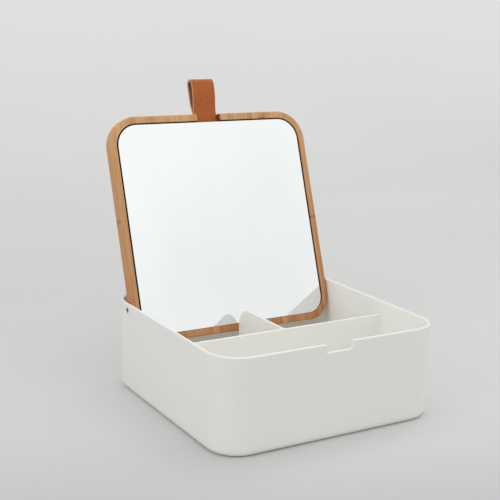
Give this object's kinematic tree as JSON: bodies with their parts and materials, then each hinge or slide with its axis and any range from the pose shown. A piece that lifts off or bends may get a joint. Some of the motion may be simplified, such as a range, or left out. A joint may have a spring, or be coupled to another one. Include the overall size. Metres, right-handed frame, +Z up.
{
  "type": "vanity box with mirror",
  "caption": "Open-topped square box with moulded dividers and a hinged wooden lid that carries a mirror underneath and is lifted by a leather loop.",
  "frame": {"origin": "middle of the tray's underside, on the surface that it stands on", "axes": "+Z up, +X to the right along the front wall, +Y from the front wall with the notch to the rear"},
  "size_m": [0.19, 0.2229, 0.2434],
  "materials": {
    "tray": "satin warm white moulded plastic",
    "dividers": "satin warm white moulded plastic",
    "lid": "oiled strip bamboo",
    "mirror": "silvered float glass with a ground edge",
    "tape": "black foam tape",
    "strap": "tan vegetable leather with pale cut edges",
    "pins": "plain steel"
  },
  "bodies": {
    "tray": {"tray_shell": "tray", "cross_divider": "dividers", "rear_divider": "dividers"},
    "lid": {"lid_board": "lid", "mirror_glass": "mirror", "mirror_tape": "tape", "pull_strap": "strap", "hinge_pins": "pins"}
  },
  "joints": [
    {"name": "lid_hinge", "type": "hinge", "parent": "tray", "child": "lid", "pos_m": [0, 0.063, 0.0678], "axis": [1, 0, 0], "range_deg": [0, 109.2]}
  ]
}
